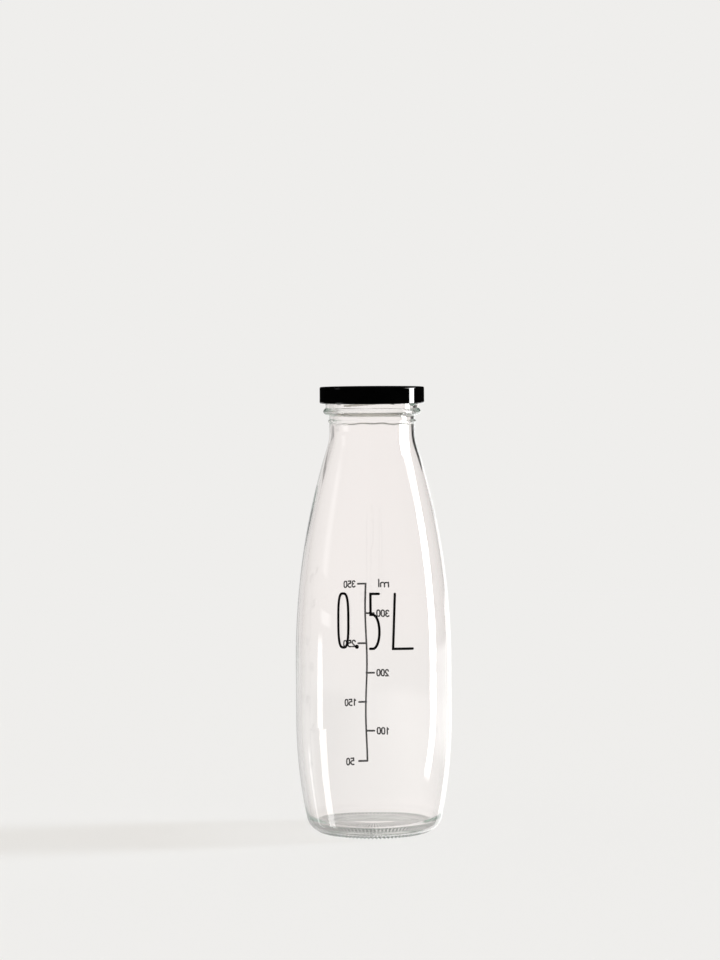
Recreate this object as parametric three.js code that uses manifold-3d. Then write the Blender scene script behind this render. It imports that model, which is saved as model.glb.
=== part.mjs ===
// A half-litre milk bottle of clear glass, with a twist-off lid of black tinplate and a soft sealing liner.
// Millimetres, +Z up. The origin is the centre of the base, on the surface that the bottle stands on.

import * as THREE from "three";
import { mergeVertices } from "three/addons/utils/BufferGeometryUtils.js";
import Module from "manifold-3d";

// Driving dimensions of the glass body: heights above the standing surface, and radii from the axis.
const rimHeight = 203.7;
const bodyRadius = 35.85;
const bodyWall = 2.4;
const flankTop = 52;
const flankRadius = 229;
const shoulderStart = 78;
const heelRadius = 7.5;
const bearingWidth = 3;
const pushUp = 2;
const baseThickness = 1.8;
const floorFillet = 6.5;

// Neck and finish: the part of the glass that carries the lid.
const neckRadius = 19.6;
const neckWall = 2.1;
const neckLength = 7.3;
const neckFillet = 24;
const finishStep = 1.75;
const lipRadius = 0.9;
const beadThickness = 3.2;
const beadDepth = 1.05;
const lidToBeadGap = 2.3;

// Thread: short inclined ridges on the glass, one for each lug of the lid.
const lugCount = 4;
const ridgeDepth = 1.2;
const ridgeThickness = 1.3;
const ridgeCrest = 0.7;
const ridgeSpan = THREE.MathUtils.degToRad(122);
const ridgeTaper = THREE.MathUtils.degToRad(9);
const firstRidge = THREE.MathUtils.degToRad(52);
const threadClearance = 0.15;
const passingClearance = 0.35;

// Lid.
const sheet = 0.3;
const lidHeight = 7.5;
const lidShoulder = 1.3;
const curlDiameter = 1.3;
const curlClearance = 0.2;
const skirtInset = 0.15;
const panelRecess = 0.7;
const panelStep = 0.6;
const linerThickness = 1;
const linerLap = 0.5;
const linerGap = 0.3;
const lugThickness = 1;
const lugClearance = 0.25;
const lugSpan = THREE.MathUtils.degToRad(18);
const lugRest = THREE.MathUtils.degToRad(84);

// How finely the round shapes are cut into facets, and how deep a joined bar bites into its carrier.
const turnSegments = 48;
const chordError = 0.05;
const barStep = THREE.MathUtils.degToRad(8);
const bite = 0.3;

// Sizes that follow from the driving ones.
const finishRadius = neckRadius + finishStep;
const boreRadius = neckRadius - neckWall;
const threadRadius = finishRadius + ridgeDepth;
const curlInside = threadRadius + curlClearance;
const lidRadius = curlInside + curlDiameter;
const skirtInside = lidRadius - skirtInset - sheet;
const lidTop = rimHeight + linerThickness + sheet;
const lidBottom = lidTop - lidHeight;
const beadTop = lidBottom - lidToBeadGap;
const neckTop = beadTop - beadThickness - neckLength;
const floorHeight = pushUp + baseThickness;
const threadLead = lugCount * (lugThickness + ridgeThickness + threadClearance + passingClearance);
const threadRise = (angle) => (threadLead * angle) / (2 * Math.PI);
const ridgeUnderside = lidBottom + threadRise(lugSpan / 2) + lugThickness + threadClearance;

const point = (radius, height) => new THREE.Vector2(radius, height);

// Points along an arc about a centre, from one angle to another, as far apart as the chord error allows.
function arc(centreRadius, centreHeight, radius, from, to) {
  const stepAngle = 2 * Math.acos(1 - chordError / radius);
  const steps = Math.ceil(Math.abs(to - from) / stepAngle);
  return Array.from({ length: steps + 1 }, (_, i) => {
    const angle = from + ((to - from) * i) / steps;
    return point(centreRadius + radius * Math.cos(angle), centreHeight + radius * Math.sin(angle));
  });
}

// A profile with the points that repeat where two stretches meet left out.
function outline(...stretches) {
  const sameSpot = 1e-3;
  return stretches.flat().filter((p, i, all) => i === 0 || p.distanceTo(all[i - 1]) > sameSpot);
}

// Turns a profile about the bottle's axis.
function turned(profile) {
  return new THREE.LatheGeometry(profile, turnSegments).rotateX(Math.PI / 2);
}

// The long S from the upright side of the body to the upright neck: two arcs that meet in one tangent.
function shoulderCurve(sideRadius, sideHeight, throatRadius, throatHeight, throatFillet) {
  const rise = throatHeight - sideHeight;
  const lean = 2 * Math.atan2(sideRadius - throatRadius, rise);
  const shoulder = rise / Math.sin(lean) - throatFillet;
  return [
    ...arc(sideRadius - shoulder, sideHeight, shoulder, 0, lean),
    ...arc(throatRadius + throatFillet, throatHeight, throatFillet, Math.PI + lean, Math.PI),
  ];
}

// The flank that narrows towards the base, and the round corner under it, which starts at cornerHeight.
function flankCurve(sideArc, corner, cornerHeight) {
  const centre = bodyRadius - flankRadius;
  const drop = flankTop - cornerHeight - corner;
  const cornerRadius = centre + Math.sqrt((sideArc - corner) ** 2 - drop ** 2);
  const lean = Math.atan2(drop, cornerRadius - centre);
  return [
    ...arc(cornerRadius, cornerHeight + corner, corner, -Math.PI / 2, -lean),
    ...arc(centre, flankTop, sideArc, -lean, 0),
  ];
}

// The shallow dome under the base, from the axis to the bearing ring that the bottle stands on.
function pushUpCurve(edgeRadius) {
  const dome = (edgeRadius ** 2 + pushUp ** 2) / (2 * pushUp);
  const halfAngle = Math.asin(edgeRadius / dome);
  return arc(0, pushUp - dome, dome, Math.PI / 2, Math.PI / 2 - halfAngle);
}

// The rounded ring below the lid, up to the finish, with a flat shelf in to a narrower neck.
function beadCurve() {
  const round = beadThickness / 2;
  const centre = finishRadius + beadDepth - round;
  const middle = beadTop - round;
  const under = -Math.acos(THREE.MathUtils.clamp((neckRadius - centre) / round, 0, 1));
  const over = Math.acos(Math.max(-1, (finishRadius - centre) / round));
  return [point(neckRadius, middle + round * Math.sin(under)), ...arc(centre, middle, round, under, over)];
}

function glassProfile() {
  const flank = flankCurve(flankRadius, heelRadius, 0);
  const cavityFlank = flankCurve(flankRadius - bodyWall, floorFillet, floorHeight);
  const cavityShoulder = shoulderCurve(
    bodyRadius - bodyWall, shoulderStart, boreRadius, neckTop, neckFillet + neckWall,
  );
  const outside = outline(
    pushUpCurve(flank[0].x - bearingWidth),
    flank,
    shoulderCurve(bodyRadius, shoulderStart, neckRadius, neckTop, neckFillet),
    beadCurve(),
    arc(finishRadius - lipRadius, rimHeight - lipRadius, lipRadius, 0, Math.PI / 2),
  );
  const inside = outline(
    [point(0, floorHeight)],
    cavityFlank,
    cavityShoulder,
    arc(boreRadius + lipRadius, rimHeight - lipRadius, lipRadius, Math.PI, Math.PI / 2),
  );
  return [...outside, ...inside.reverse()];
}

function lidProfile() {
  const panelTop = lidTop - panelRecess;
  const channelRadius = boreRadius - linerLap - linerGap;
  const curl = curlDiameter / 2;
  const skirtOutside = lidRadius - skirtInset;
  return outline(
    [point(0, panelTop - sheet), point(channelRadius - panelStep, panelTop - sheet)],
    [point(channelRadius, lidTop - sheet)],
    arc(skirtInside - lidShoulder + sheet, lidTop - lidShoulder, lidShoulder - sheet, Math.PI / 2, 0),
    [point(skirtInside, lidBottom + curlDiameter)],
    arc(lidRadius - curl, lidBottom + curl, curl, Math.PI / 2, 2 * Math.PI),
    [point(skirtOutside, lidBottom + curlDiameter)],
    arc(skirtOutside - lidShoulder, lidTop - lidShoulder, lidShoulder, 0, Math.PI / 2),
    [point(channelRadius - sheet, lidTop), point(channelRadius - panelStep - sheet, panelTop)],
    [point(0, panelTop)],
  );
}

function linerProfile() {
  const inner = boreRadius - linerLap;
  const outer = skirtInside - lidShoulder + sheet - linerGap;
  const top = rimHeight + linerThickness;
  return [
    point(inner, rimHeight),
    point(outer, rimHeight),
    point(outer, top),
    point(inner, top),
    point(inner, rimHeight),
  ];
}

// Bends a bar of the given section round the bottle's axis, climbing along the thread's helix.
// The section's x is a radius and its y the height at the bar's start; depthAt gives the share of its depth
// that it has at an angle along the bar.
function helicalBar(section, start, span, rootRadius, depthAt) {
  const steps = Math.ceil(span / barStep);
  const bar = new THREE.ExtrudeGeometry(section, { depth: span, steps, bevelEnabled: false });
  const position = bar.getAttribute("position");
  for (let i = 0; i < position.count; i++) {
    const along = span - position.getZ(i);
    const radius = rootRadius + (position.getX(i) - rootRadius) * depthAt(along);
    const angle = start + along;
    const height = position.getY(i) + threadRise(along);
    position.setXYZ(i, radius * Math.cos(angle), radius * Math.sin(angle), height);
  }
  return bar;
}

function ridgeBar(start) {
  const root = finishRadius - bite;
  const slope = ridgeThickness - ridgeCrest;
  const lowEnd = ridgeUnderside - threadRise(lugRest);
  const section = new THREE.Shape([
    point(root, lowEnd),
    point(threadRadius, lowEnd + slope / 4),
    point(threadRadius, lowEnd + slope / 4 + ridgeCrest),
    point(root, lowEnd + ridgeThickness),
  ]);
  const flush = bite / (bite + ridgeDepth);
  const depthAt = (along) => {
    const fromEnd = Math.min(along, ridgeSpan - along);
    return THREE.MathUtils.lerp(flush, 1, THREE.MathUtils.smoothstep(fromEnd, 0, ridgeTaper));
  };
  return helicalBar(section, start, ridgeSpan, root, depthAt);
}

// A lug of the lid, whose middle rests under the ridge that starts at the given angle.
function lugBar(ridgeStart) {
  const tip = finishRadius + lugClearance;
  const root = curlInside + bite;
  const section = new THREE.Shape([
    point(tip, lidBottom),
    point(root, lidBottom),
    point(root, lidBottom + lugThickness),
    point(tip, lidBottom + lugThickness),
  ]);
  return helicalBar(section, ridgeStart + lugRest - lugSpan / 2, lugSpan, root, () => 1);
}

const wasm = await Module();
wasm.setup();

function toSolid(geometry) {
  const bare = geometry.clone();
  bare.deleteAttribute("normal");
  bare.deleteAttribute("uv");
  const merged = mergeVertices(bare);
  return new wasm.Manifold(new wasm.Mesh({
    numProp: 3,
    vertProperties: merged.getAttribute("position").array,
    triVerts: new Uint32Array(merged.index.array),
  }));
}

function toGeometry(solid) {
  const mesh = solid.getMesh();
  const geometry = new THREE.BufferGeometry();
  geometry.setAttribute("position", new THREE.BufferAttribute(mesh.vertProperties, 3));
  geometry.setIndex(new THREE.BufferAttribute(mesh.triVerts, 1));
  geometry.computeVertexNormals();
  return geometry;
}

// Joins one bar for each ridge to a turned piece, evenly spaced round the axis.
function withBars(base, makeBar) {
  const spacing = (2 * Math.PI) / lugCount;
  const bars = Array.from({ length: lugCount }, (_, i) => toSolid(makeBar(firstRidge + i * spacing)));
  return toGeometry(bars.reduce((joined, bar) => joined.add(bar), toSolid(base)));
}

const clearGlass = new THREE.MeshStandardMaterial({
  color: 0xdde8e3, roughness: 0.04, metalness: 0, transparent: true, opacity: 0.35,
});
const blackLacquer = new THREE.MeshStandardMaterial({ color: 0x0a0a0b, roughness: 0.18, metalness: 0.2 });
const softLiner = new THREE.MeshStandardMaterial({ color: 0xd8d4c8, roughness: 0.6, metalness: 0 });

function piece(name, geometry, material) {
  const mesh = new THREE.Mesh(geometry, material);
  mesh.name = name;
  return mesh;
}

const lid = new THREE.Group();
lid.add(
  piece("lid_shell", withBars(turned(lidProfile()), lugBar), blackLacquer),
  piece("lid_liner", turned(linerProfile()), softLiner),
);

const bottle = new THREE.Group();
bottle.add(piece("glass_bottle", withBars(turned(glassProfile()), ridgeBar), clearGlass), lid);

export default bottle;
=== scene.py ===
"""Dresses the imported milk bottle: clear glass, enamel prints, black lid and sealing liner, in a plain studio.

Blender units are metres, with +Z up. Sizes in capitals are millimetres unless their comment says otherwise.
"""

import math

import bpy
import numpy as np
from mathutils import Matrix, Vector


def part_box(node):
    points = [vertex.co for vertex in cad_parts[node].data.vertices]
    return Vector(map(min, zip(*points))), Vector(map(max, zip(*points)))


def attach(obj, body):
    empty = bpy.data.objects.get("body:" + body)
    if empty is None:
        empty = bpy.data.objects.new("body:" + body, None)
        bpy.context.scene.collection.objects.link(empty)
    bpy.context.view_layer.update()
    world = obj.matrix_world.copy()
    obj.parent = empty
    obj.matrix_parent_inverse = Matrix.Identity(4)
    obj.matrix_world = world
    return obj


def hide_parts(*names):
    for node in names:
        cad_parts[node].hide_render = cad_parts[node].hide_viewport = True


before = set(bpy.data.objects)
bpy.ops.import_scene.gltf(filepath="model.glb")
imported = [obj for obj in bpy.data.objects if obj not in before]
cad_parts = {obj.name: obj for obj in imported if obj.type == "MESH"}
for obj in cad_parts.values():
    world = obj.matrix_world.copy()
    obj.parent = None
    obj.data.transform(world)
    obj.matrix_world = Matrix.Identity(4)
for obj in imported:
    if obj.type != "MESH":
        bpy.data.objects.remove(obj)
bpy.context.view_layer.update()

MM = 0.001

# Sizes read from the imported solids.
GLASS_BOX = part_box("glass_bottle")
LID_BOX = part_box("lid_shell")
LINER_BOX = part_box("lid_liner")
BODY_RADIUS = GLASS_BOX[1].x / MM
RIM_HEIGHT = GLASS_BOX[1].z / MM
LID_RADIUS = LID_BOX[1].x / MM
LID_TOP = LID_BOX[1].z / MM
LID_BOTTOM = LID_BOX[0].z / MM
LINER_RADIUS = LINER_BOX[1].x / MM
LINER_TOP = LINER_BOX[1].z / MM

# Glass body.
BODY_WALL = 2.4
FLANK_TOP = 52.0
FLANK_RADIUS = 229.0
SHOULDER_START = 78.0
HEEL_RADIUS = 7.5
BEARING_WIDTH = 3.0
FOOT_WIDTH = 2.2
FOOT_TOP = 1.5
PUSH_UP = 2.0
BASE_THICKNESS = 1.8
FLOOR_FILLET = 6.5
FLOOR_DOME = 0.5

# Neck and finish.
NECK_RADIUS = 19.6
NECK_WALL = 2.1
NECK_LENGTH = 7.3
NECK_FILLET = 24.0
FINISH_RADIUS = 21.35
LIP_RADIUS = 0.9
BEAD_THICKNESS = 3.2
BEAD_DEPTH = 1.05
BEAD_ROUND = 1.5
BEAD_REACH = 1.45
BEAD_REACH_BELOW = 2.6
BEAD_BLEND = 0.2
BEAD_FALL = 4.0
BEAD_ROWS_BELOW = 0.8
BEAD_ROWS_ABOVE = 0.2
COLLAR_STEP = 0.2
BEAD_TOP = LID_BOTTOM - 2.3
BEAD_FOOT = BEAD_TOP - BEAD_THICKNESS
NECK_TOP = BEAD_FOOT - NECK_LENGTH
BORE_RADIUS = NECK_RADIUS - NECK_WALL

# Thread ridges, and the lugs that rest under them. Angles are in degrees.
LUG_COUNT = 4
THREAD_LEAD = 11.2
RIDGE_DEPTH = 1.2
RIDGE_THICKNESS = 1.3
RIDGE_CREST = 0.6
RIDGE_SPAN = 122.0
RIDGE_TAPER = 9.0
FIRST_RIDGE = 52.0
LUG_REST = 84.0
LUG_SPAN = 18.0
LUG_SIDE = 3.0
LUG_THICKNESS = 1.0
LUG_TIP = FINISH_RADIUS + 0.25
THREAD_CLEARANCE = 0.15

# Marks that the mould leaves on the glass, and dust with painted contact shade that darkens the knurls near the
# floor:
# its colour, the heights that it lies between, and the share of it on the crests of the ridges. HEEL_CLOSE,
# where the heel has close rows, SEAM_HALF and DOT_SPACING are in degrees. Names with ROW are for rows of the
# mesh.
KNURL_COUNT = 90
KNURL_HEIGHT = 0.6
KNURL_TOP = 1.8
KNURL_INNER_EDGE = 0.6
KNURL_TOP_EDGE = 0.5
DUST_AND_SHADE = (0.03, 0.04, 0.035, 1.0)
DUST_AND_SHADE_LOW = (0.0, 1.5)
DUST_AND_SHADE_EDGE = 0.3
DUST_AND_SHADE_CREST = 0.4
HEEL_CLOSE = (-34.0, -21.0)
SEAM_HEIGHT = 0.06
SEAM_HALF = 0.3
NECK_LINE_DROP = 3.0
NECK_LINE_HEIGHT = 0.6
NECK_LINE_WIDTH = 0.45
NECK_LINE_SWAY = 0.25
NECK_LINE_RIPPLE = 0.18
BAFFLE_RADIUS = 17.0
BAFFLE_HEIGHT = 0.12
BAFFLE_WIDTH = 0.35
BAFFLE_ROWS = 0.8
DOT_COUNT = 5
DOT_RING = 8.0
DOT_SPACING = 20.0
DOT_RADIUS = 1.1
DOT_HEIGHT = 0.55
DOT_ROWS = 1.8
ROW_GAP = 0.4
ROW_GAP_OUTER = 0.7
WALL_WAVE = 0.08
WALL_LEAN = 0.12
WALL_QUICK_SHARE = 0.4
WALL_SLOW_RISE = 17.0
WALL_SLOW_FADE = 23.0
WALL_QUICK_RISE = 11.0
EVEN_RIM = 8.0
EVEN_FADE = 12.0
NECK_THIN = 0.9
NECK_THIN_FROM = 140.0
NECK_THIN_FULL = 165.0

# Lid and liner.
SHEET = 0.3
LID_SHOULDER = 0.6
CURL_DIAMETER = 1.3
HEM_RADIUS = 0.35
SKIRT_INSET = 0.03
CROWN_INSET = 0.02
CROWN_HEIGHT = 2.0
PANEL_RECESS = 0.7
PANEL_STEP = 0.6
PANEL_RADIUS = BORE_RADIUS - 0.8
PRESS_RADIUS = 0.35
PRESS_TURN = math.radians(54)
CROWN_GAP = 0.3
LINER_INNER = BORE_RADIUS - 0.5
LINER_CORNER = 0.3
LINER_SEAT = 0.03

# Enamel prints.
PRINT_SINK = 0.04
PRINT_RISE = 0.05
PRINT_STEP = 0.8
MITRE_LIMIT = 0.6
MARK_FOOT = 88.0
MARK_HEIGHT = 24.6
MARK_STROKE = 1.15
MARK_LIFT = 0.4
MARK_DROP = 0.2
ZERO_MIDDLE = -14.0
ZERO_WIDTH = 4.9
FIVE_MIDDLE = 0.5
FIVE_WIDTH = 4.2
LITRE_MIDDLE = 13.6
LITRE_WIDTH = 9.6
POINT_MIDDLE = -7.65
POINT_LIFT = 0.9
POINT_RADIUS = 0.95
SCALE_COUNT = 7
SCALE_UNIT = 50
SCALE_FOOT = 26.8
SCALE_STEP = 14.05
SCALE_SHIFT = 3.35
SCALE_STROKE = 0.9
SCALE_WOBBLE = 0.3
SCALE_WAVE = 47.0
TICK_LENGTH = 3.9
LABEL_HEIGHT = 2.9
LABEL_WIDTH = 1.5
LABEL_GAP = 0.7
LABEL_STROKE = 0.7
LABEL_SPACE = 1.5
LABEL_DIGITS = 3
UNIT_SPACE = 3.1
UNIT_WIDTH = 4.0
UNIT_GAP = 0.9

# Turning steps of the round pieces.
GLASS_TURN = 360
LID_TURN = 240

# Camera and studio, in metres and degrees. Azimuths run from the front, where the camera is, to the right.
CAMERA_PLACE = (-0.0057, -1.2878, 0.22835)
CAMERA_PITCH = 87.056
CAMERA_ROLL = -0.36
CAMERA_LENS = 105.0
BACKGROUND = (0.863, 0.855, 0.839, 1.0)
THROUGH_GLASS = (0.945, 0.892, 0.868, 1.0)
AMBIENT = (0.63, 0.61, 0.585, 1.0)
KEY_AZIMUTH = 98.0
KEY_ELEVATION = 24.0
KEY_SOFTNESS = 12.0
KEY_LEVEL = 3.0
KEY_COLOUR = (0.95, 1.0, 1.05)

# The floor, in metres: how far it reaches, and how far it lies below the bottle. The last three give a share
# of light and shadow from the studio that it takes, at two distances from the bottle.
FLOOR_HALF = 20.0
FLOOR_DROP = 0.00005
FLOOR_FAR = (0.4, 1.2, 0.4, 0.0)
FLOOR_NEAR = (0.05, 0.11, 0.6, 1.0)
FLOOR_UNDER = (0.022, 0.036, 0.0, 1.0)

# Turns that light may take inside the thick glass of the base.
BOUNCES = 96

# What reflections show of the table, in degrees. Azimuths here run from behind the bottle to the right.
# Each panel has its azimuths and their soft edge, its elevations and their soft edge, and its level.
PANELS = {
    "right_table": ((0, 41), 2, (-90, -2.8), 1.2, 1.6),
    "right_floor": ((41, 180), 2, (-90, -7.5), 1.5, 0.1),
    "left_table": ((-41, 0), 2, (-90, -2.8), 1.2, 0.75),
    "left_floor": ((-180, -41), 2, (-90, -4.0), 1.2, 0.1),
    "near_floor": ((-180, 180), 1, (-90, -35), 10, 0.15),
}
DARK_ROOM = 0.004

# What is seen through the edges of the glass, after it has been turned inside the wall, in degrees.
# The left is dimmer than the right, and the ceiling is dim.
EDGE_LEVEL = (-60, 60, 0.8, 1.0)
EDGE_CEILING = (14, 40, 1.0, 0.9)

# Painted light and shade on the table behind the glass, as the glass shows it: brighter on the right and darker
# on the left, where the bottle's shadow falls, as far as its end, in metres.
TABLE_PAINTED_LIGHT = (-0.03, 0.03, 0.92, 1.1)
TABLE_END = (0.45, 0.55)

# Upright soft lights that only reflections show. The azimuths of their two sides are in degrees, from
# the front to the right, at the foot and at the head. The distance, the heights and the soft ends are in
# metres, and side is the soft share of the half width.
LIGHTS = {
    "right_strip": dict(foot=(90, 104.5), head=(88.5, 106), distance=0.9, heights=(-0.06, 0.37),
                        ends=(0.001, 0.002), side=0.2, level=18.0),
    "right_foot": dict(foot=(80, 94), head=(90, 104.5), distance=0.9, heights=(-0.27, -0.06),
                       ends=(0.08, 0.001), side=0.3, level=14.0),
    "right_high": dict(foot=(87.5, 108), head=(75, 129), distance=0.9, heights=(0.37, 0.75),
                       ends=(0.002, 0.06), side=0.5, level=12.0),
    "right_side": dict(foot=(100, 139), head=(100, 139), distance=0.95, heights=(-0.22, 0.02),
                       ends=(0.12, 0.03), side=0.1, level=1.45),
    "right_card": dict(foot=(127, 177), head=(148, 177), distance=0.2, heights=(-0.04, 0.1935),
                       ends=(0.04, 0.002), side=0.06, level=1.45),
    "left_card": dict(foot=(-177, -127), head=(-177, -127), distance=0.2, heights=(-0.1, 0.1935),
                      ends=(0.02, 0.002), side=0.06, level=0.58),
    "left_strip": dict(foot=(-88.5, -73.5), head=(-88.5, -73.5), distance=1.6, heights=(-1.2, -0.19),
                       ends=(0.1, 0.001), side=0.15, level=5.0),
    "left_top": dict(foot=(-92, -80), head=(-90, -81), distance=1.6, heights=(-0.19, 0.05),
                     ends=(0.001, 0.08), side=0.2, level=5.0),
    "left_sliver": dict(foot=(-117.5, -111), head=(-117.5, -111), distance=1.6, heights=(-1.2, -0.25),
                        ends=(0.1, 0.06), side=0.4, level=2.5),
    "left_side": dict(foot=(-135, -98), head=(-135, -98), distance=1.7, heights=(-1.3, -0.13),
                      ends=(0.1, 0.06), side=0.3, level=0.6),
    "left_high": dict(foot=(-94, -72), head=(-94, -72), distance=1.6, heights=(0.27, 0.9),
                      ends=(0.03, 0.2), side=1.0, level=1.3),
    "left_neck": dict(foot=(-90, -62), head=(-90, -62), distance=1.6, heights=(0.07, 0.143),
                      ends=(0.02, 0.005), side=0.8, level=2.0),
}

# A small lamp close to the neck, which only reflections show, placed like the lights above.
# LAMP_POWER is in watts for each unit of level and square metre, and the spread in degrees.
LAMP_DISTANCE = 0.035
LAMP_SPREAD = 80.0
LAMP_POWER = 4.0
LAMPS = {
    "neck_lamp": dict(across=(59, 98), heights=(0.1815, 0.1875), level=12.0),
}

# Dark flags behind the neck, which show only in light turned inside the glass, as lines at the neck's edges.
FLAGS = {
    "right_flag": dict(foot=(135, 166), head=(135, 166), distance=0.15, heights=(0.176, 0.24),
                       ends=(0.003, 0.02), side=0.2, level=0.95),
    "left_flag": dict(foot=(-152, -130), head=(-152, -130), distance=0.15, heights=(0.174, 0.188),
                      ends=(0.004, 0.004), side=0.5, level=0.5),
}


# Profiles

def arc(centre, radius, start, end, steps):
    """Points on an arc about a centre, from one angle to another, in radians."""
    angles = np.linspace(start, end, steps + 1)
    return np.column_stack([centre[0] + radius * np.cos(angles), centre[1] + radius * np.sin(angles)])


def line(start, end, steps=1):
    return np.linspace(start, end, steps + 1)


def smoothstep(low, high, value):
    share = np.clip((value - low) / (high - low), 0, 1)
    return share * share * (3 - 2 * share)


def swell(value, width):
    """A smooth swell, 1 where value is 0 and almost nothing past its width."""
    return np.exp(-((value / width) ** 2))


def shoulder_curve(side_radius, side_height, throat_radius, throat_height, fillet):
    """The long S from the upright body to the upright neck: two arcs that meet in one tangent."""
    rise = throat_height - side_height
    lean = 2 * math.atan2(side_radius - throat_radius, rise)
    shoulder = rise / math.sin(lean) - fillet
    lower = arc((side_radius - shoulder, side_height), shoulder, 0, lean, 22)
    upper = arc((throat_radius + fillet, throat_height), fillet, math.pi + lean, math.pi, 8)
    return np.vstack([lower, upper])


def flank_curve(side_arc, corner, corner_height):
    """The round corner at the base, and the flank that widens above it."""
    centre = BODY_RADIUS - FLANK_RADIUS
    drop = FLANK_TOP - corner_height - corner
    corner_radius = centre + math.sqrt((side_arc - corner) ** 2 - drop ** 2)
    lean = math.atan2(drop, corner_radius - centre)
    turns = np.radians([-90, HEEL_CLOSE[0], HEEL_CLOSE[1], -math.degrees(lean)])
    low = [arc((corner_radius, corner_height + corner), corner, *turns[i:i + 2], steps)
           for i, steps in enumerate((7, 9, 3))]
    high = arc((centre, FLANK_TOP), side_arc, -lean, 0, 10)
    return np.vstack(low), high


def underside(edge):
    """The domed push-up under the base, with close rows where the mould's marks are."""
    rows = [
        line(0, DOT_RING - DOT_ROWS - ROW_GAP, 4),
        line(DOT_RING - DOT_ROWS, DOT_RING + DOT_ROWS, 16),
        line(DOT_RING + DOT_ROWS + 3 * ROW_GAP, BAFFLE_RADIUS - BAFFLE_ROWS - ROW_GAP, 3),
        line(BAFFLE_RADIUS - BAFFLE_ROWS, BAFFLE_RADIUS + BAFFLE_ROWS, 8),
        line(BAFFLE_RADIUS + BAFFLE_ROWS + ROW_GAP_OUTER, edge, 4),
    ]
    radius = np.concatenate(rows)
    return np.column_stack([radius, PUSH_UP * (1 - (radius / edge) ** 2)])


def joined(*stretches):
    """One profile, and the name of each point's stretch, without points that repeat where stretches meet."""
    points = np.vstack([p for _, p in stretches])
    names = np.concatenate([[name] * len(p) for name, p in stretches])
    moved = np.linalg.norm(np.diff(points, axis=0), axis=1) > 1e-3
    keep = np.concatenate([[True], moved])
    return points[keep], names[keep]


def collar_curve(start, end, steps):
    """The neck, the rounded bead and the finish above it, flowing into each other."""
    height = np.linspace(start, end, steps + 1)
    middle = BEAD_TOP - BEAD_THICKNESS / 2
    above = height > middle
    carrier = np.where(above, FINISH_RADIUS, NECK_RADIUS)
    reach = np.where(above, BEAD_REACH, BEAD_REACH_BELOW)
    share = np.abs(height - middle) / BEAD_ROUND
    level = np.sqrt(np.maximum(1 - share ** 2, 0)) - BEAD_FALL * np.maximum(share - 1, 0)
    bead = FINISH_RADIUS + BEAD_DEPTH - reach + reach * level
    radius = BEAD_BLEND * np.logaddexp(carrier / BEAD_BLEND, bead / BEAD_BLEND)
    return np.column_stack([radius, height])


def glass_profile():
    """The glass from the middle of its underside, up the outside, over the rim and down to its floor."""
    floor = PUSH_UP + BASE_THICKNESS
    heel, flank = flank_curve(FLANK_RADIUS, HEEL_RADIUS, 0)
    edge = heel[0, 0] - BEARING_WIDTH
    foot_top = (np.interp(FOOT_TOP, heel[:, 1], heel[:, 0]), FOOT_TOP)
    foot = line((heel[0, 0] + FOOT_WIDTH, 0), foot_top, 4)
    lip = RIM_HEIGHT - LIP_RADIUS
    cavity_side = BODY_RADIUS - BODY_WALL
    cavity_fillet = NECK_FILLET + NECK_WALL
    cavity_heel, cavity_flank = flank_curve(FLANK_RADIUS - BODY_WALL, FLOOR_FILLET, floor)
    cavity_shoulder = shoulder_curve(cavity_side, SHOULDER_START, BORE_RADIUS, NECK_TOP, cavity_fillet)
    floor_radius = np.linspace(cavity_heel[0, 0], 0, 8)
    floor_height = floor + FLOOR_DOME * (1 - (floor_radius / floor_radius[0]) ** 2)
    return joined(
        ("under", underside(edge)),
        ("heel", line((edge, 0), foot[0], 6)),
        ("heel", foot),
        ("heel", heel[heel[:, 1] > FOOT_TOP]),
        ("side", flank),
        ("side", line((BODY_RADIUS, FLANK_TOP), (BODY_RADIUS, SHOULDER_START), 5)),
        ("side", shoulder_curve(BODY_RADIUS, SHOULDER_START, NECK_RADIUS, NECK_TOP, NECK_FILLET)),
        ("neck", collar_curve(NECK_TOP, BEAD_FOOT - BEAD_ROWS_BELOW - COLLAR_STEP, 18)),
        ("bead", collar_curve(BEAD_FOOT - BEAD_ROWS_BELOW, BEAD_TOP + BEAD_ROWS_ABOVE, 20)),
        ("finish", collar_curve(BEAD_TOP + BEAD_ROWS_ABOVE + COLLAR_STEP, lip, 32)),
        ("rim", arc((FINISH_RADIUS - LIP_RADIUS, lip), LIP_RADIUS, 0, math.pi / 2, 6)),
        ("rim", arc((BORE_RADIUS + LIP_RADIUS, lip), LIP_RADIUS, math.pi / 2, math.pi, 6)),
        ("inside", line((BORE_RADIUS, lip), (BORE_RADIUS, NECK_TOP), 6)),
        ("inside", cavity_shoulder[::-1]),
        ("inside", line((cavity_side, SHOULDER_START), (cavity_side, FLANK_TOP), 5)),
        ("inside", cavity_flank[::-1]),
        ("inside", cavity_heel[::-1]),
        ("floor", np.column_stack([floor_radius, floor_height])),
    )


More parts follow.
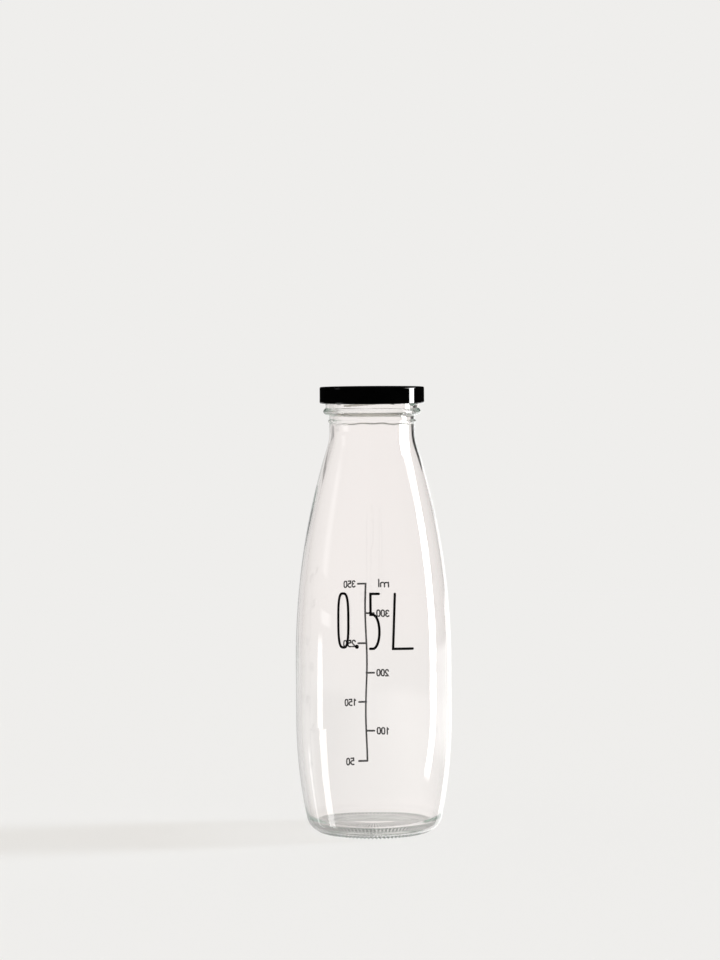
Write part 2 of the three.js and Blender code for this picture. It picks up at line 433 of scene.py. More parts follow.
def lid_profile():
    """The lid from under its panel, down inside the skirt, round the curl and back over the top."""
    curl = CURL_DIAMETER / 2
    curl_centre = (LID_RADIUS - curl, LID_BOTTOM + curl)
    panel_top = LID_TOP - PANEL_RECESS
    skirt = LID_RADIUS - SKIRT_INSET
    inside = skirt - SHEET
    crown = skirt - CROWN_INSET
    shoulder = LID_TOP - LID_SHOULDER
    step = PANEL_RADIUS - PANEL_STEP
    rim_edge = (PANEL_RADIUS - SHEET + PRESS_RADIUS, LID_TOP - PRESS_RADIUS)
    well_edge = (step - SHEET - PRESS_RADIUS, panel_top + PRESS_RADIUS)
    return joined(
        ("under", line((0, panel_top - SHEET), (step, panel_top - SHEET), 8)),
        ("under", line((PANEL_RADIUS, LID_TOP - SHEET), (inside - LID_SHOULDER + SHEET, LID_TOP - SHEET), 4)),
        ("under", arc((inside - LID_SHOULDER + SHEET, shoulder), LID_SHOULDER - SHEET, math.pi / 2, 0, 8)),
        ("under", line((inside, shoulder), (inside, LID_BOTTOM + CURL_DIAMETER), 4)),
        ("curl", arc(curl_centre, curl, math.pi / 2, 1.5 * math.pi, 24)),
        ("hem", arc((LID_RADIUS - HEM_RADIUS, LID_BOTTOM + HEM_RADIUS), HEM_RADIUS, -math.pi / 2, 0, 8)),
        ("hem", line((LID_RADIUS, LID_BOTTOM + curl), (LID_RADIUS, LID_BOTTOM + 1.5 * curl), 1)),
        ("skirt", line((skirt, LID_BOTTOM + 3.5 * curl), (skirt, LID_TOP - CROWN_HEIGHT - CROWN_GAP), 6)),
        ("skirt", arc((crown - LID_SHOULDER, shoulder), LID_SHOULDER, 0, math.pi / 2, 12)),
        ("top", line((crown - LID_SHOULDER, LID_TOP), (rim_edge[0], LID_TOP), 5)),
        ("top", arc(rim_edge, PRESS_RADIUS, math.pi / 2, math.pi / 2 + PRESS_TURN, 4)),
        ("top", arc(well_edge, PRESS_RADIUS, PRESS_TURN - math.pi / 2, -math.pi / 2, 4)),
        ("top", line((well_edge[0], panel_top), (0, panel_top), 9)),
    )


def liner_profile():
    low = RIM_HEIGHT + LINER_SEAT + LINER_CORNER
    high = LINER_TOP - LINER_SEAT - LINER_CORNER
    inner = LINER_INNER + LINER_CORNER
    outer = LINER_RADIUS - LINER_CORNER
    return joined(
        ("ring", arc((inner, low), LINER_CORNER, math.pi, 1.5 * math.pi, 5)),
        ("ring", arc((outer, low), LINER_CORNER, -math.pi / 2, 0, 5)),
        ("ring", arc((outer, high), LINER_CORNER, 0, math.pi / 2, 5)),
        ("ring", arc((inner, high), LINER_CORNER, math.pi / 2, math.pi, 5)),
    )


# Fine relief: each function takes heights or radii as a column and angles as a row, in degrees

def turn_between(degrees, other):
    """The shorter turn from one angle to another, with its sign."""
    return (degrees - other + 180.0) % 360.0 - 180.0


def wave(degrees, count, phase=0.0):
    return np.sin(np.radians(count * degrees + phase))


def thread_rise(degrees):
    return THREAD_LEAD * degrees / 360.0


def thread_ridges(height, degrees):
    """How far the thread ridges stand out of the finish."""
    underside_at_lug = LID_BOTTOM + thread_rise(LUG_SPAN / 2) + LUG_THICKNESS + THREAD_CLEARANCE
    low_end = underside_at_lug - thread_rise(LUG_REST) + RIDGE_THICKNESS / 2
    depth = np.zeros(np.broadcast(height, degrees).shape)
    for i in range(LUG_COUNT):
        along = (degrees - FIRST_RIDGE - i * 360.0 / LUG_COUNT) % 360.0
        off_middle = np.abs(height - low_end - thread_rise(along))
        section = smoothstep(RIDGE_THICKNESS / 2, RIDGE_CREST / 2, off_middle)
        ends = smoothstep(0, RIDGE_TAPER, np.minimum(along, RIDGE_SPAN - along))
        depth = np.maximum(depth, RIDGE_DEPTH * section * ends)
    return depth


def base_dots(radius, degrees):
    """Plain raised dots in an arc under the base."""
    turn = np.radians(degrees)
    height = np.zeros(np.broadcast(radius, degrees).shape)
    for i in range(DOT_COUNT):
        spot = math.radians(-90 + DOT_SPACING * (i - (DOT_COUNT - 1) / 2))
        x = radius * np.cos(turn) - DOT_RING * math.cos(spot)
        y = radius * np.sin(turn) - DOT_RING * math.sin(spot)
        height += DOT_HEIGHT * smoothstep(DOT_RADIUS, 0, np.hypot(x, y))
    return height


def knurled_ring(profile, degrees, edge):
    """Short ridges round the bearing ring and up the heel: their crests keep the glass's outline."""
    radius = profile[:, :1]
    height = profile[:, 1:]
    inner = smoothstep(edge, edge + KNURL_INNER_EDGE, radius)
    ring = inner * smoothstep(KNURL_TOP, KNURL_TOP - KNURL_TOP_EDGE, height)
    valley = 0.5 - 0.5 * np.cos(np.radians(KNURL_COUNT * degrees))
    return -KNURL_HEIGHT * ring * valley


def neck_line(height, degrees):
    """The wandering line where the neck ring of the mould met its body."""
    sway = NECK_LINE_SWAY * wave(degrees, 4, 95) + NECK_LINE_RIPPLE * wave(degrees, 13)
    middle = BEAD_FOOT - NECK_LINE_DROP + sway
    return NECK_LINE_HEIGHT * swell(height - middle, NECK_LINE_WIDTH)


def wall_waves(height, degrees):
    """The uneven inner wall of blown glass: thin at the right of the neck, and even near the rim."""
    slow = np.sin(np.radians(2 * degrees + 50) + height / WALL_SLOW_RISE)
    slow = slow * np.cos(height / WALL_SLOW_FADE + 0.4)
    quick = np.sin(np.radians(5 * degrees + 10) - height / WALL_QUICK_RISE)
    right = 0.5 + 0.5 * np.cos(np.radians(degrees))
    uneven = WALL_WAVE * (slow + WALL_QUICK_SHARE * quick) + WALL_LEAN * (2 * right - 1)
    thinner = NECK_THIN * right * smoothstep(NECK_THIN_FROM, NECK_THIN_FULL, height)
    even = RIM_HEIGHT - EVEN_RIM
    return (uneven - thinner) * smoothstep(even, even - EVEN_FADE, height)


def glass_relief(profile, names, degrees):
    """Moves along the glass's normal: the mould's marks, the thread and the uneven inner wall."""
    radius = profile[:, :1]
    height = profile[:, 1:]
    edge = radius[names == "heel"][0, 0]
    seams = sum(np.abs(turn_between(degrees, side)) < SEAM_HALF for side in (0, 180))
    relief = {
        "under": BAFFLE_HEIGHT * swell(radius - BAFFLE_RADIUS, BAFFLE_WIDTH) + base_dots(radius, degrees),
        "heel": knurled_ring(profile, degrees, edge),
        "side": SEAM_HEIGHT * seams + 0 * height,
        "neck": SEAM_HEIGHT * seams + neck_line(height, degrees),
        "finish": thread_ridges(height, degrees),
        "inside": wall_waves(height, degrees),
    }
    return sum((names == name)[:, None] * move for name, move in relief.items())


def lug_reach(profile, names, degrees):
    """How far the lugs reach inwards from the curl."""
    height = profile[:, 1:]
    share = np.zeros((len(profile), len(degrees)))
    for i in range(LUG_COUNT):
        turn = turn_between(degrees, FIRST_RIDGE + LUG_REST + i * 360.0 / LUG_COUNT)
        middle = LID_BOTTOM + thread_rise(LUG_SPAN / 2 + turn) + LUG_THICKNESS / 2
        width = smoothstep(LUG_SPAN / 2, LUG_SPAN / 2 - LUG_SIDE, np.abs(turn))
        section = smoothstep(LUG_THICKNESS / 2, LUG_THICKNESS / 4, np.abs(height - middle))
        share = np.maximum(share, width * section)
    return share * (names == "curl")[:, None] * (profile[:, :1] - LUG_TIP)


# Meshes

def turned_mesh(name, radius, height, closed=False):
    """Rows of radii and heights, one column for each step of the turn, as a mesh about the axis.

    A row at radius 0 becomes one pole. A closed profile joins its last row to its first.
    """
    steps = radius.shape[1]
    turn = np.radians(np.arange(steps) * 360.0 / steps)
    vertices = []
    rows = []
    for r, z in zip(radius, height):
        first = len(vertices)
        if abs(r[0]) < 1e-6:
            vertices.append((0, 0, z[0] * MM))
            rows.append([first] * steps)
        else:
            vertices.extend(zip(r * np.cos(turn) * MM, r * np.sin(turn) * MM, z * MM))
            rows.append(range(first, first + steps))
    pairs = list(zip(rows, rows[1:]))
    if closed:
        pairs.append((rows[-1], rows[0]))
    faces = []
    for low, high in pairs:
        for j in range(steps):
            k = (j + 1) % steps
            faces.append(list(dict.fromkeys([low[j], low[k], high[k], high[j]])))
    mesh = bpy.data.meshes.new(name)
    mesh.from_pydata(vertices, [], faces)
    mesh.shade_smooth()
    return mesh


def outward(profile):
    """Unit normals of a profile that has its material on the left."""
    tangent = np.gradient(profile, axis=0)
    normal = np.column_stack([tangent[:, 1], -tangent[:, 0]])
    return normal / np.linalg.norm(normal, axis=1, keepdims=True)


def glass_mesh(profile, names):
    degrees = np.arange(GLASS_TURN) * 360.0 / GLASS_TURN
    relief = glass_relief(profile, names, degrees)
    normal = outward(profile)
    radius = np.where(profile[:, :1] > 0, profile[:, :1] + normal[:, :1] * relief, 0)
    height = profile[:, 1:] + normal[:, 1:] * relief
    return turned_mesh("bottle_glass", radius, height)


def lid_mesh():
    profile, names = lid_profile()
    degrees = np.arange(LID_TURN) * 360.0 / LID_TURN
    radius = profile[:, :1] - lug_reach(profile, names, degrees)
    height = np.repeat(profile[:, 1:], LID_TURN, axis=1)
    mesh = turned_mesh("lid_cap", radius, height)
    inside = np.repeat(names[1:] == "under", LID_TURN)
    mesh.polygons.foreach_set("material_index", inside.astype(np.int32))
    return mesh


def liner_mesh():
    profile, _ = liner_profile()
    radius = np.repeat(profile[:, :1], LID_TURN, axis=1)
    height = np.repeat(profile[:, 1:], LID_TURN, axis=1)
    return turned_mesh("lid_seal_ring", radius, height, closed=True)


# Prints: strokes in a unit box for each character, laid flat and then wrapped on the glass

def oval(centre, half_width, half_height, start, end, steps=20, power=1.0):
    """An arc of an oval, between two angles in degrees. A power below 1 makes it squarer."""
    angles = np.radians(np.linspace(start, end, steps + 1))
    across = np.sign(np.cos(angles)) * np.abs(np.cos(angles)) ** power
    up = np.sign(np.sin(angles)) * np.abs(np.sin(angles)) ** power
    return np.column_stack([centre[0] + half_width * across, centre[1] + half_height * up])


GLYPHS = {
    "0": [oval((0.5, 0.5), 0.5, 0.5, 90, 450, 60, 0.65)],
    "1": [np.array([(0.2, 0.8), (0.6, 1.0), (0.6, 0.0)])],
    "2": [np.vstack([oval((0.5, 0.7), 0.5, 0.3, 165, -35), [(0.0, 0.0)], [(1.0, 0.0)]])],
    "3": [np.vstack([
        oval((0.45, 0.76), 0.48, 0.24, 150, -90, 14),
        oval((0.45, 0.26), 0.55, 0.26, 90, -150, 16),
    ])],
    "5": [np.vstack([
        [(0.95, 1.0), (0.06, 1.0), (0.06, 0.62)],
        oval((0.3, 0.31), 0.7, 0.31, 90, -90),
        [(0.0, 0.0)],
    ])],
    "L": [np.array([(0.1, 1.0), (0.0, 0.0), (1.0, -0.012)])],
    "l": [np.array([(0.0, 1.2), (0.0, 0.0)])],
    "m": [
        np.array([(0.0, 0.75), (0.0, 0.0)]),
        np.vstack([oval((0.25, 0.48), 0.25, 0.24, 180, 0, 10), [(0.5, 0.0)]]),
        np.vstack([oval((0.75, 0.48), 0.25, 0.24, 180, 0, 10), [(1.0, 0.0)]]),
    ],
}


class Flat:
    """Flat faces of a print, with x to the right along the glass and y up, in millimetres."""

    def __init__(self):
        self.points = []
        self.faces = []

    def add(self, points):
        first = len(self.points)
        self.points.extend(map(tuple, points))
        return list(range(first, len(self.points)))

    def disc(self, centre, radius, sides=24):
        self.faces.append(self.add(oval(centre, radius, radius, 0, 360, sides)[:-1]))

    def stroke(self, path, width):
        """A ribbon of constant width along a path, with round ends unless the path closes on itself."""
        path = resampled(path)
        closed = np.linalg.norm(path[0] - path[-1]) < 1e-6
        if closed:
            path = path[:-1]
        along, reach = headings(path, closed)
        side = np.column_stack([-along[:, 1], along[:, 0]])
        left = self.add(path + side * reach * width / 2)
        right = self.add(path - side * reach * width / 2)
        count = len(path)
        for i in range(count if closed else count - 1):
            k = (i + 1) % count
            self.faces.append([right[i], right[k], left[k], left[i]])
        if not closed:
            self.cap(path[0], -along[0], width, left[0], right[0])
            self.cap(path[-1], along[-1], width, right[-1], left[-1])

    def cap(self, centre, heading, width, first, last):
        """A half round at a ribbon's end, between two of its corners."""
        side = np.array([-heading[1], heading[0]])
        turns = np.radians(np.linspace(-90, 90, 9)[1:-1])[:, None]
        rim = centre + width / 2 * (np.cos(turns) * heading + np.sin(turns) * side)
        self.faces.append([first, *self.add(rim), last])

    def word(self, text, middle, foot, width, height, gap, stroke):
        """A short word, centred on middle."""
        left = middle - (len(text) * (width + gap) - gap) / 2
        for i, character in enumerate(text):
            for path in GLYPHS[character]:
                self.stroke(path * (width, height) + (left + i * (width + gap), foot), stroke)


def resampled(path):
    """A path with extra points, so that it can bend round the glass."""
    parts = [path[:1]]
    for a, b in zip(path, path[1:]):
        count = math.ceil(np.linalg.norm(b - a) / PRINT_STEP)
        parts.append(np.linspace(a, b, count + 1)[1:])
    return np.vstack(parts)


def headings(path, closed):
    """The direction of a path at each point, and how much further a mitred corner reaches to the side."""
    steps = np.diff(np.vstack([path, path[:1]]), axis=0)
    steps /= np.linalg.norm(steps, axis=1, keepdims=True)
    before = np.roll(steps, 1, axis=0)
    if not closed:
        before[0] = steps[0]
        steps[-1] = before[-1]
    along = steps + before
    along /= np.linalg.norm(along, axis=1, keepdims=True)
    return along, 1 / np.maximum(np.sum(along * steps, axis=1, keepdims=True), MITRE_LIMIT)


def print_mesh(name, flat, facing, glass_radius):
    """Wraps flat faces on the glass as a thin closed skin. facing is the print's angle from +X."""
    points = np.array(flat.points)
    radius = glass_radius(points[:, 1])
    turn = math.radians(facing) + points[:, 0] / radius
    skins = []
    for lift in (PRINT_RISE, -PRINT_SINK):
        r = radius + lift
        skins.append(np.column_stack([r * np.cos(turn), r * np.sin(turn), points[:, 1]]) * MM)
    count = len(points)
    edges = {(a, b) for face in flat.faces for a, b in zip(face, face[1:] + face[:1])}
    border = sorted((a, b) for a, b in edges if (b, a) not in edges)
    faces = list(flat.faces)
    faces += [[i + count for i in reversed(face)] for face in flat.faces]
    faces += [[a + count, b + count, b, a] for a, b in border]
    mesh = bpy.data.meshes.new(name)
    mesh.from_pydata(np.vstack(skins).tolist(), [], faces)
    return mesh


def capacity_mark():
    """The large mark in front: half a litre."""
    flat = Flat()
    flat.word("0", ZERO_MIDDLE, MARK_FOOT + MARK_LIFT, ZERO_WIDTH, MARK_HEIGHT - MARK_LIFT, 0, MARK_STROKE)
    flat.disc((POINT_MIDDLE, MARK_FOOT + POINT_LIFT), POINT_RADIUS)
    flat.word("5", FIVE_MIDDLE, MARK_FOOT, FIVE_WIDTH, MARK_HEIGHT, 0, MARK_STROKE)
    flat.word("L", LITRE_MIDDLE, MARK_FOOT - MARK_DROP, LITRE_WIDTH, MARK_HEIGHT, 0, MARK_STROKE)
    return flat


def measuring_scale():
    """The scale behind: a spine with a tick and a number every 50 ml, on alternate sides."""
    flat = Flat()
    top = SCALE_FOOT + (SCALE_COUNT - 1) * SCALE_STEP
    rise = np.linspace(SCALE_FOOT, top, 60)
    spine = SCALE_SHIFT + SCALE_WOBBLE * np.cos(2 * math.pi * (rise - SCALE_FOOT) / SCALE_WAVE + math.pi)
    flat.stroke(np.column_stack([spine, rise]), SCALE_STROKE)
    for i in range(SCALE_COUNT):
        height = SCALE_FOOT + i * SCALE_STEP
        side = 1 if i % 2 == 0 else -1
        end = SCALE_SHIFT + side * TICK_LENGTH
        flat.stroke(np.array([(SCALE_SHIFT, height), (end, height)]), SCALE_STROKE)
        text = str(SCALE_UNIT * (i + 1))
        room = LABEL_SPACE + (LABEL_DIGITS * (LABEL_WIDTH + LABEL_GAP) - LABEL_GAP) / 2
        foot = height - LABEL_HEIGHT / 2
        flat.word(text, end + side * room, foot, LABEL_WIDTH, LABEL_HEIGHT, LABEL_GAP, LABEL_STROKE)
    middle = SCALE_SHIFT - TICK_LENGTH - UNIT_SPACE
    foot = top - LABEL_HEIGHT / 2
    flat.word("ml", middle, foot, UNIT_WIDTH, LABEL_HEIGHT, UNIT_GAP, LABEL_STROKE)
    return flat


# Materials

def add(tree, kind, inputs=(), **settings):
    """A new node with its settings, and its inputs linked to a socket or set to a value."""
    node = tree.nodes.new(kind)
    for key, value in settings.items():
        setattr(node, key, value)
    for key, value in dict(inputs).items():
        if isinstance(value, bpy.types.NodeSocket):
            tree.links.new(value, node.inputs[key])
        else:
            node.inputs[key].default_value = value
    return node


def new_material(name):
    material = bpy.data.materials.new(name)
    material.use_nodes = True
    material.node_tree.nodes.clear()
    return material, material.node_tree


def noise(tree, scale, detail=2.0, stretch=(1, 1, 1)):
    """Noise in the object's own metres: scale is in cells per metre."""
    place = add(tree, "ShaderNodeTexCoord").outputs["Object"]
    mapped = add(tree, "ShaderNodeMapping", {"Vector": place, "Scale": stretch}).outputs["Vector"]
    inputs = {"Vector": mapped, "Scale": scale, "Detail": detail}
    return add(tree, "ShaderNodeTexNoise", inputs).outputs["Fac"]


def ranged(tree, value, low, high, to_low, to_high, interpolation="LINEAR"):
    inputs = {"Value": value, "From Min": low, "From Max": high, "To Min": to_low, "To Max": to_high}
    return add(tree, "ShaderNodeMapRange", inputs, interpolation_type=interpolation).outputs["Result"]


def maths(tree, operation, *values):
    return add(tree, "ShaderNodeMath", enumerate(values), operation=operation).outputs[0]


def window(tree, value, between, soft):
    """1 between two values, falling to 0 over a soft edge outside them."""
    low, high = between
    rise = ranged(tree, value, low - soft, low, 0, 1, "SMOOTHSTEP")
    fall = ranged(tree, value, high, high + soft, 1, 0, "SMOOTHSTEP")
    return maths(tree, "MULTIPLY", rise, fall)


def mixed(tree, factor, first, second):
    """A colour between two others."""
    return add(tree, "ShaderNodeMix", {0: factor, 6: first, 7: second}, data_type="RGBA").outputs[2]


def bumped(tree, height, distance, strength):
    inputs = {"Height": height, "Distance": distance, "Strength": strength}
    return add(tree, "ShaderNodeBump", inputs).outputs["Normal"]


def knurl_dust_and_shade(tree):
    """How much dust and painted contact shade darken the knurled ridges near the floor: most in their valleys,
    less on their crests.
    """
    place = add(tree, "ShaderNodeTexCoord").outputs["Object"]
    axes = add(tree, "ShaderNodeSeparateXYZ", {0: place}).outputs
    turn = maths(tree, "MULTIPLY", maths(tree, "ARCTAN2", axes[1], axes[0]), KNURL_COUNT)
    valley = ranged(tree, maths(tree, "COSINE", turn), -1, 1, 1, DUST_AND_SHADE_CREST)
    height = maths(tree, "DIVIDE", axes[2], MM)
    low = window(tree, height, DUST_AND_SHADE_LOW, DUST_AND_SHADE_EDGE)
    return maths(tree, "MULTIPLY", valley, low)


def clear_glass():
    """Clear glass with slow ripples from the mould, faint smudges, a green cast where it is thick, and dust
    with painted contact shade darkening the knurled foot.
    """
    material, tree = new_material("clear_glass")
    smudge = ranged(tree, noise(tree, 45, 3), 0.5, 0.75, 0.0, 0.02)
    # Dust and painted contact shade: a dark tint on the knurled foot near the floor.
    colour = mixed(tree, knurl_dust_and_shade(tree), (1, 1, 1, 1), DUST_AND_SHADE)
    ripple = bumped(tree, noise(tree, 70, 1, (1, 1, 0.45)), 0.0002, 0.35)
    glass = add(tree, "ShaderNodeBsdfPrincipled", {
        "Base Color": colour,
        "Roughness": smudge,
        "IOR": 1.52,
        "Transmission Weight": 1.0,
        "Normal": ripple,
    })
    shadow = add(tree, "ShaderNodeBsdfTransparent", {"Color": (0.8, 0.775, 0.74, 1)})
    is_shadow = add(tree, "ShaderNodeLightPath").outputs["Is Shadow Ray"]
    surface = add(tree, "ShaderNodeMixShader", {0: is_shadow, 1: glass.outputs[0], 2: shadow.outputs[0]})
    tint = add(tree, "ShaderNodeVolumeAbsorption", {"Color": (0.5, 0.8, 0.68, 1), "Density": 3.0})
    add(tree, "ShaderNodeOutputMaterial", {"Surface": surface.outputs[0], "Volume": tint.outputs[0]})
    return material


def black_lacquer():
    """Gloss black lacquer on tinplate, with a fine orange peel and rubbed hairlines round the skirt."""
    material, tree = new_material("black_lacquer")
    rubs = noise(tree, 900, 4, (1, 1, 12))
    gloss = ranged(tree, rubs, 0.35, 0.75, 0.01, 0.04)
    shade = ranged(tree, noise(tree, 160, 3), 0.3, 0.8, 0.0, 1.0)
    colour = mixed(tree, shade, (0.0004, 0.0004, 0.0004, 1), (0.0014, 0.0014, 0.0014, 1))
    peel = bumped(tree, noise(tree, 1400, 2), 0.000006, 0.3)
    lacquer = add(tree, "ShaderNodeBsdfPrincipled", {
        "Base Color": colour,
        "Roughness": gloss,
        "IOR": 1.5,
        "Normal": peel,
        "Coat Weight": 0.3,
        "Coat Roughness": 0.02,
    })
    add(tree, "ShaderNodeOutputMaterial", {"Surface": lacquer.outputs[0]})
    return material


def lid_lining():
    """The pale lacquer inside the lid, thin enough to be a little uneven over the tin."""
    material, tree = new_material("lid_lining")
    cloud = noise(tree, 300, 3)
    colour = mixed(tree, cloud, (0.62, 0.6, 0.55, 1), (0.7, 0.68, 0.63, 1))
    lacquer = add(tree, "ShaderNodeBsdfPrincipled", {
        "Base Color": colour,
        "Roughness": ranged(tree, cloud, 0.3, 0.7, 0.25, 0.4),
        "Normal": bumped(tree, noise(tree, 1400, 2), 0.00001, 0.4),
    })
    add(tree, "ShaderNodeOutputMaterial", {"Surface": lacquer.outputs[0]})
    return material


def soft_liner():
    """Off-white sealing compound, slightly mottled and matt."""
    material, tree = new_material("soft_liner")
    mottle = noise(tree, 600, 3)
    colour = mixed(tree, mottle, (0.5, 0.48, 0.43, 1), (0.6, 0.58, 0.53, 1))
    rough = ranged(tree, mottle, 0.3, 0.7, 0.5, 0.7)
    compound = add(tree, "ShaderNodeBsdfPrincipled", {
        "Base Color": colour,
        "Roughness": rough,
        "Normal": bumped(tree, noise(tree, 2500, 2), 0.00003, 0.5),
    })
    add(tree, "ShaderNodeOutputMaterial", {"Surface": compound.outputs[0]})
    return material


def black_enamel():
    """Fired black enamel: satin, with the fine pits and uneven density of a screen print."""
    material, tree = new_material("black_enamel")
    pits = noise(tree, 5000, 2)
    density = noise(tree, 700, 3)
    colour = mixed(tree, density, (0.0015, 0.0015, 0.0016, 1), (0.006, 0.0058, 0.0056, 1))
    rough = ranged(tree, density, 0.3, 0.7, 0.32, 0.5)
    enamel = add(tree, "ShaderNodeBsdfPrincipled", {
        "Base Color": colour,
        "Roughness": rough,
        "Specular IOR Level": 0.12,
        "Normal": bumped(tree, pits, 0.00001, 0.5),
    })
    add(tree, "ShaderNodeOutputMaterial", {"Surface": enamel.outputs[0]})
    return material


# Pieces

def new_piece(mesh, body, material):
    """An object of the bottle that moves with a body and takes the given material."""
    piece = bpy.data.objects.new(mesh.name, mesh)
    bpy.context.scene.collection.objects.link(piece)
    mesh.materials.append(material)
    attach(piece, body)
    return piece


def build_bottle():
    profile, names = glass_profile()
    glass = new_piece(glass_mesh(profile, names), "bottle", clear_glass())
    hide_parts("glass_bottle")
    lid = new_piece(lid_mesh(), "lid", black_lacquer())
    lid.data.materials.append(lid_lining())
    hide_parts("lid_shell")
    liner = new_piece(liner_mesh(), "lid_seal", soft_liner())
    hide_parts("lid_liner")
    side = profile[names == "side"]
    enamel = black_enamel()
    prints = {"capacity_mark": (capacity_mark(), -90), "measuring_scale": (measuring_scale(), 90)}
    for name, (flat, facing) in prints.items():
        mesh = print_mesh(name, flat, facing, lambda height: np.interp(height, side[:, 1], side[:, 0]))
        new_piece(mesh, "bottle", enamel)


# Studio

def build_camera():
    camera = bpy.data.objects.new("camera", bpy.data.cameras.new("camera"))
    bpy.context.scene.collection.objects.link(camera)
    camera.data.lens = CAMERA_LENS
    pitch = Matrix.Rotation(math.radians(CAMERA_PITCH), 4, "X")
    roll = Matrix.Rotation(math.radians(CAMERA_ROLL), 4, "Z")
    camera.matrix_world = Matrix.Translation(CAMERA_PLACE) @ pitch @ roll
    bpy.context.scene.camera = camera


def seen_through(tree, path, azimuth, elevation):
    """The pale background as the glass shows it: even through the walls, and dimmer at their edges."""
    level = ranged(tree, azimuth, *EDGE_LEVEL, "SMOOTHSTEP")
    level = maths(tree, "MULTIPLY", level, ranged(tree, elevation, *EDGE_CEILING, "SMOOTHSTEP"))
    dark = maths(tree, "SUBTRACT", 1, level)
    turned = maths(tree, "MINIMUM", path["Glossy Depth"], 1)
    return mixed(tree, maths(tree, "MULTIPLY", turned, dark), THROUGH_GLASS, (0, 0, 0, 1))


def build_world():
    """Pale for the camera and through the glass. Reflections show the studio's panels in the dark."""
    world = bpy.data.worlds.new("studio")
    bpy.context.scene.world = world
    world.use_nodes = True
    tree = world.node_tree
    tree.nodes.clear()
    path = add(tree, "ShaderNodeLightPath").outputs
    direction = add(tree, "ShaderNodeTexCoord").outputs["Generated"]
    axes = add(tree, "ShaderNodeSeparateXYZ", {0: direction}).outputs
    azimuth = maths(tree, "DEGREES", maths(tree, "ARCTAN2", axes[0], axes[1]))
    elevation = maths(tree, "DEGREES", maths(tree, "ARCSINE", axes[2]))
    panels = DARK_ROOM
    for across, side_edge, up, end_edge, level in PANELS.values():
        width = window(tree, azimuth, across, side_edge)
        height = window(tree, elevation, up, end_edge)
        panel = maths(tree, "MULTIPLY", maths(tree, "MULTIPLY", width, height), level)
        panels = maths(tree, "MAXIMUM", panels, panel)
    colour = mixed(tree, path["Is Glossy Ray"], AMBIENT, panels)
    through = seen_through(tree, path, azimuth, elevation)
    colour = mixed(tree, path["Is Transmission Ray"], colour, through)
    colour = mixed(tree, path["Is Camera Ray"], colour, BACKGROUND)
    background = add(tree, "ShaderNodeBackground", {"Color": colour})
    add(tree, "ShaderNodeOutputWorld", {"Surface": background.outputs[0]})


def build_floor():
    """A wide pale floor that glows like the background, and takes part of the bottle's shadow near it. Seen
    through the glass, it has painted light on the right and painted shade on the left.
    """
    half = FLOOR_HALF
    corners = [(-half, -half, 0), (half, -half, 0), (half, half, 0), (-half, half, 0)]
    mesh = bpy.data.meshes.new("floor")
    mesh.from_pydata(corners, [], [(0, 1, 2, 3)])
    floor = bpy.data.objects.new("floor", mesh)
    bpy.context.scene.collection.objects.link(floor)
    floor.location.z = -FLOOR_DROP
    floor.visible_glossy = False
    material, tree = new_material("pale_floor")
    mesh.materials.append(material)
    path = add(tree, "ShaderNodeLightPath").outputs
    place = add(tree, "ShaderNodeTexCoord").outputs["Object"]
    distance = add(tree, "ShaderNodeVectorMath", {0: place}, operation="LENGTH").outputs["Value"]
    axes = add(tree, "ShaderNodeSeparateXYZ", {0: place}).outputs
    azimuth = maths(tree, "DEGREES", maths(tree, "ARCTAN2", axes[0], axes[1]))
    fall = maths(tree, "DEGREES", maths(tree, "ARCTAN2", -NECK_TOP * MM, distance))
    far = ranged(tree, distance, *FLOOR_FAR, "SMOOTHSTEP")
    near = ranged(tree, distance, *FLOOR_NEAR, "SMOOTHSTEP")
    under = ranged(tree, distance, *FLOOR_UNDER, "SMOOTHSTEP")
    share = maths(tree, "MULTIPLY", maths(tree, "MULTIPLY", far, near), under)
    through = seen_through(tree, path, azimuth, fall)
    seen = mixed(tree, path["Is Transmission Ray"], BACKGROUND, through)
    # Painted light and shade on the floor seen through the glass: brighter on the right, darker on the left.
    painted_light = maths(tree, "SUBTRACT", ranged(tree, axes[0], *TABLE_PAINTED_LIGHT), 1)
    painted_light = maths(tree, "MULTIPLY", painted_light, ranged(tree, distance, *TABLE_END, 1, 0, "SMOOTHSTEP"))
    painted_light = maths(tree, "MULTIPLY", painted_light, path["Is Transmission Ray"])
    strength = maths(tree, "ADD", painted_light, 1)
    glow = add(tree, "ShaderNodeEmission", {"Color": seen, "Strength": strength})
    matt = add(tree, "ShaderNodeBsdfDiffuse", {"Color": BACKGROUND})
    surface = add(tree, "ShaderNodeMixShader", {0: share, 1: glow.outputs[0], 2: matt.outputs[0]})
    add(tree, "ShaderNodeOutputMaterial", {"Surface": surface.outputs[0]})


def facing_axis(azimuth):
    """The direction from the bottle at an azimuth, and the turn of something upright there that faces it."""
    turn = math.radians(azimuth)
    away = Vector((math.sin(turn), -math.cos(turn), 0))
    return away, away.to_track_quat("Z", "Y").to_euler()


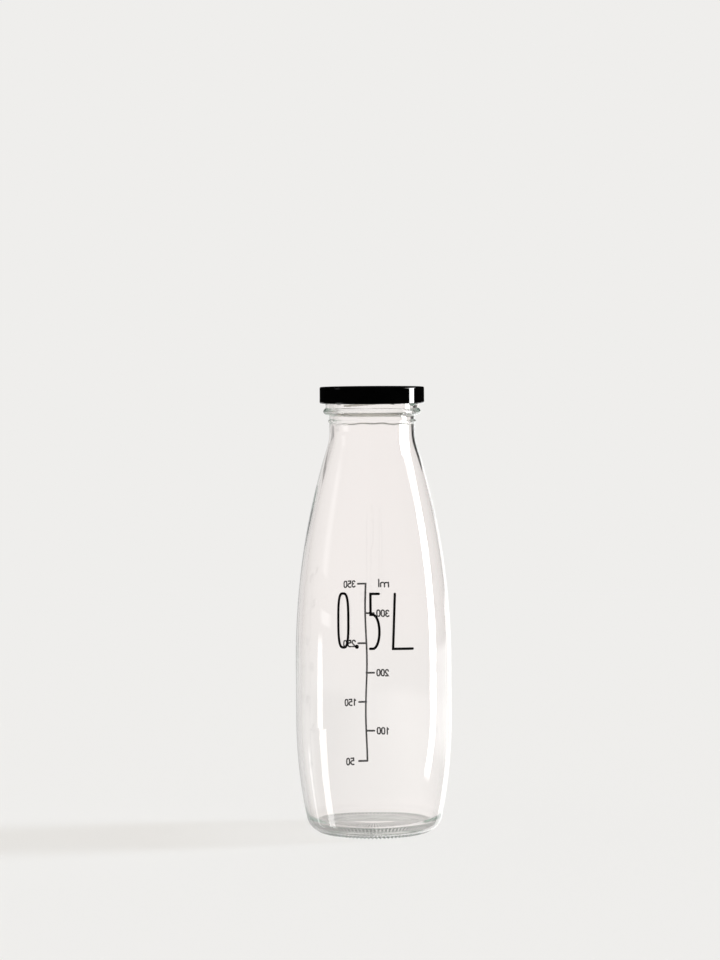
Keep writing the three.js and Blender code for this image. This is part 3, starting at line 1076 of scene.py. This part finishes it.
def build_card(name, foot, head, distance, heights, ends, side, seen_by):
    """An upright soft-edged card that faces the bottle: its material's tree, and its share from 0 to 1."""
    middle = (foot[0] + foot[1] + head[0] + head[1]) / 4
    sides = [distance * math.tan(math.radians(azimuth - middle)) for azimuth in (*foot, *head)]
    half_height = (heights[1] - heights[0]) / 2
    corners = [(sides[0], -half_height, 0), (sides[1], -half_height, 0),
               (sides[3], half_height, 0), (sides[2], half_height, 0)]
    mesh = bpy.data.meshes.new(name)
    mesh.from_pydata(corners, [], [(0, 1, 2, 3)])
    card = bpy.data.objects.new(name, mesh)
    bpy.context.scene.collection.objects.link(card)
    away, card.rotation_euler = facing_axis(middle)
    card.location = away * distance + Vector((0, 0, (heights[0] + heights[1]) / 2))
    for ray in ("camera", "diffuse", "glossy", "transmission", "shadow"):
        setattr(card, "visible_" + ray, ray == seen_by)
    material, tree = new_material(name)
    mesh.materials.append(material)
    place = add(tree, "ShaderNodeTexCoord").outputs["Object"]
    axes = add(tree, "ShaderNodeSeparateXYZ", {0: place}).outputs
    near = ranged(tree, axes[1], -half_height, half_height, sides[0], sides[2])
    far = ranged(tree, axes[1], -half_height, half_height, sides[1], sides[3])
    reach = maths(tree, "DIVIDE", maths(tree, "SUBTRACT", axes[0], near), maths(tree, "SUBTRACT", far, near))
    across = window(tree, reach, (side / 2, 1 - side / 2), side / 2)
    rise = ranged(tree, axes[1], -half_height, ends[0] - half_height, 0, 1, "SMOOTHSTEP")
    fall = ranged(tree, axes[1], half_height - ends[1], half_height, 1, 0, "SMOOTHSTEP")
    return tree, maths(tree, "MULTIPLY", across, maths(tree, "MULTIPLY", rise, fall))


def build_light(name, level, **card):
    tree, share = build_card(name, seen_by="glossy", **card)
    light = add(tree, "ShaderNodeEmission", {"Strength": level})
    clear = add(tree, "ShaderNodeBsdfTransparent")
    soft = add(tree, "ShaderNodeMixShader", {0: share, 1: clear.outputs[0], 2: light.outputs[0]})
    add(tree, "ShaderNodeOutputMaterial", {"Surface": soft.outputs[0]})


def build_flag(name, level, **card):
    tree, share = build_card(name, seen_by="transmission", **card)
    path = add(tree, "ShaderNodeLightPath").outputs
    turned = maths(tree, "MINIMUM", path["Glossy Depth"], level)
    left = maths(tree, "SUBTRACT", 1, maths(tree, "MULTIPLY", share, turned))
    shade = add(tree, "ShaderNodeBsdfTransparent", {"Color": left})
    add(tree, "ShaderNodeOutputMaterial", {"Surface": shade.outputs[0]})


def build_lamp(name, across, heights, level):
    """A small upright lamp that faces the bottle and shows in reflections alone."""
    lamp = bpy.data.lights.new(name, "AREA")
    lamp.shape = "RECTANGLE"
    lamp.size = 2 * LAMP_DISTANCE * math.tan(math.radians(across[1] - across[0]) / 2)
    lamp.size_y = heights[1] - heights[0]
    lamp.energy = LAMP_POWER * level * lamp.size * lamp.size_y
    lamp.spread = math.radians(LAMP_SPREAD)
    holder = bpy.data.objects.new(name, lamp)
    bpy.context.scene.collection.objects.link(holder)
    away, holder.rotation_euler = facing_axis((across[0] + across[1]) / 2)
    holder.location = away * LAMP_DISTANCE + Vector((0, 0, (heights[0] + heights[1]) / 2))
    for ray in ("camera", "diffuse", "transmission"):
        setattr(holder, "visible_" + ray, False)


def build_lights():
    """Cards and lamps for the highlights, and a soft key on the right that casts the long, faint shadow."""
    for name, light in LIGHTS.items():
        build_light(name, **light)
    for name, flag in FLAGS.items():
        build_flag(name, **flag)
    for name, lamp in LAMPS.items():
        build_lamp(name, **lamp)
    sun = bpy.data.lights.new("key", "SUN")
    sun.energy = KEY_LEVEL
    sun.color = KEY_COLOUR
    sun.angle = math.radians(KEY_SOFTNESS)
    key = bpy.data.objects.new("key", sun)
    bpy.context.scene.collection.objects.link(key)
    away, _ = facing_axis(KEY_AZIMUTH)
    rise = Vector((0, 0, math.tan(math.radians(KEY_ELEVATION))))
    key.rotation_euler = (away + rise).to_track_quat("Z", "Y").to_euler()
    key.visible_glossy = False
    key.visible_transmission = False


build_camera()
build_world()
build_floor()
build_lights()
build_bottle()
bpy.context.scene.view_settings.view_transform = "Standard"
bpy.context.scene.cycles.max_bounces = BOUNCES
bpy.context.scene.cycles.glossy_bounces = BOUNCES
bpy.context.scene.cycles.transmission_bounces = BOUNCES
